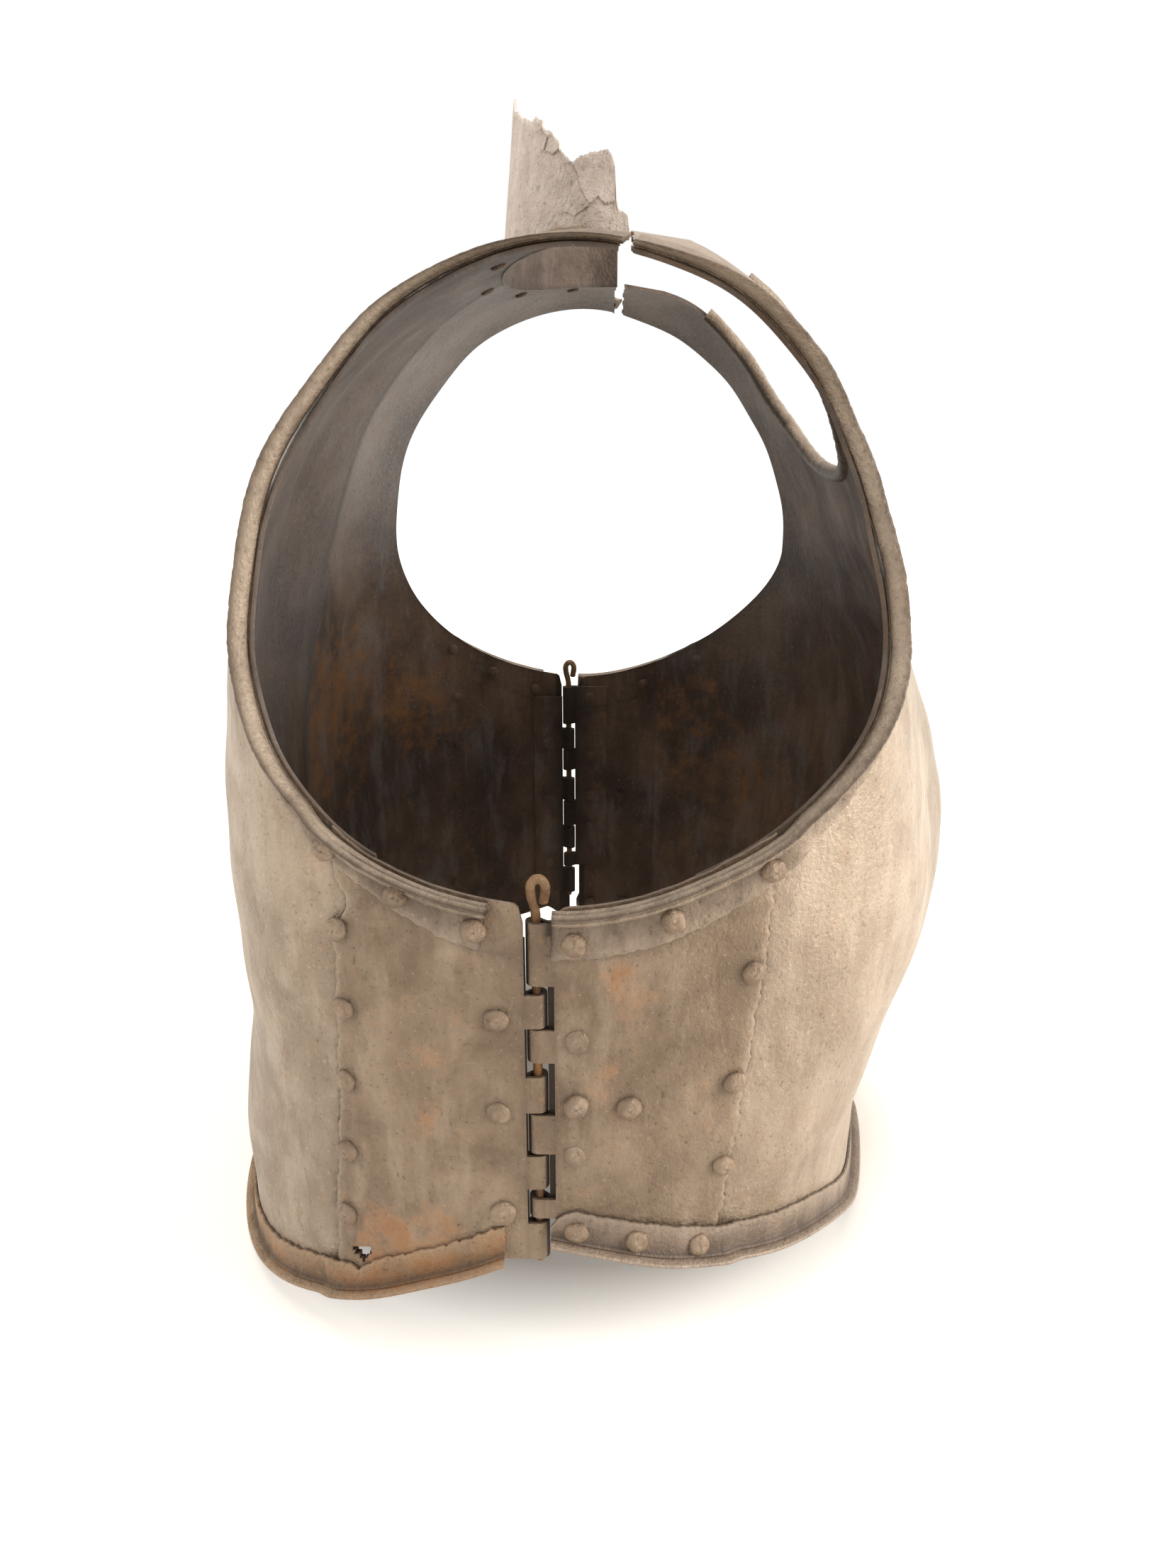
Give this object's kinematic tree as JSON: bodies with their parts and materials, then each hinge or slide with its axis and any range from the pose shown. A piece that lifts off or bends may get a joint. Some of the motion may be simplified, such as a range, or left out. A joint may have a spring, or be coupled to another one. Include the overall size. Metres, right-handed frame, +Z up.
{
  "type": "cuirass",
  "caption": "Hinged iron cuirass: keeled breast and back of riveted plate, rolled knuckle hinges with loop headed pins, beaded armhole borders and a broken collar.",
  "frame": {"origin": "on the floor under the waist lips, at the middle of the outline seen from above", "axes": "+Z up along the wearer, -Y the way the wearer faces, +X the wearer's left"},
  "size_m": [0.3552, 0.3239, 0.4449],
  "materials": {
    "plate_iron": "brown patina, rubbed smooth",
    "side_plate_iron": "brown patina with rust freckles",
    "border_iron": "grey brown patina",
    "rusted_strip": "orange brown rust",
    "rivet_iron": "brown patina",
    "rusted_wire_pin": "orange brown rust",
    "pale_collar_iron": "pale dusty oxide"
  },
  "bodies": {
    "back": {"back_plate": "plate_iron", "back_side_plate_right": "side_plate_iron", "back_side_plate_left": "side_plate_iron", "back_armhole_border_right": "border_iron", "back_armhole_border_left": "border_iron", "back_neck_border": "border_iron", "back_collar": "pale_collar_iron", "back_waist_flange": "rusted_strip", "back_seam_rivets_right": "rivet_iron", "back_seam_rivets_left": "rivet_iron", "back_hinge_rivets_right": "rivet_iron", "back_hinge_rivets_left": "rivet_iron", "back_armhole_rivets_right": "rivet_iron", "back_armhole_rivets_left": "rivet_iron", "back_neck_rivets": "rivet_iron"},
    "front": {"front_plate": "plate_iron", "front_side_plate_right": "side_plate_iron", "front_side_plate_left": "side_plate_iron", "front_armhole_border_right": "border_iron", "front_armhole_border_left": "border_iron", "front_neck_rim": "border_iron", "front_waist_flange": "border_iron", "front_seam_rivets_right": "rivet_iron", "front_seam_rivets_left": "rivet_iron", "front_hinge_rivets_right": "rivet_iron", "front_hinge_rivets_left": "rivet_iron", "front_armhole_rivets_right": "rivet_iron", "front_armhole_rivets_left": "rivet_iron", "front_waist_rivets": "rivet_iron"},
    "right_pin": {"right_hinge_pin": "rusted_wire_pin"},
    "left_pin": {"left_hinge_pin": "rusted_wire_pin"}
  },
  "joints": [
    {"name": "front_open", "type": "hinge", "parent": "back", "child": "front", "pos_m": [0.1663, 0.01685, 0.11], "axis": [0, 0, 1], "range_deg": [0, 70]},
    {"name": "right_pin_lift", "type": "slide", "parent": "back", "child": "right_pin", "axis": [0, 0, 1], "range_m": [0, 0.14]},
    {"name": "left_pin_lift", "type": "slide", "parent": "back", "child": "left_pin", "axis": [0, 0, 1], "range_m": [0, 0.14]}
  ]
}
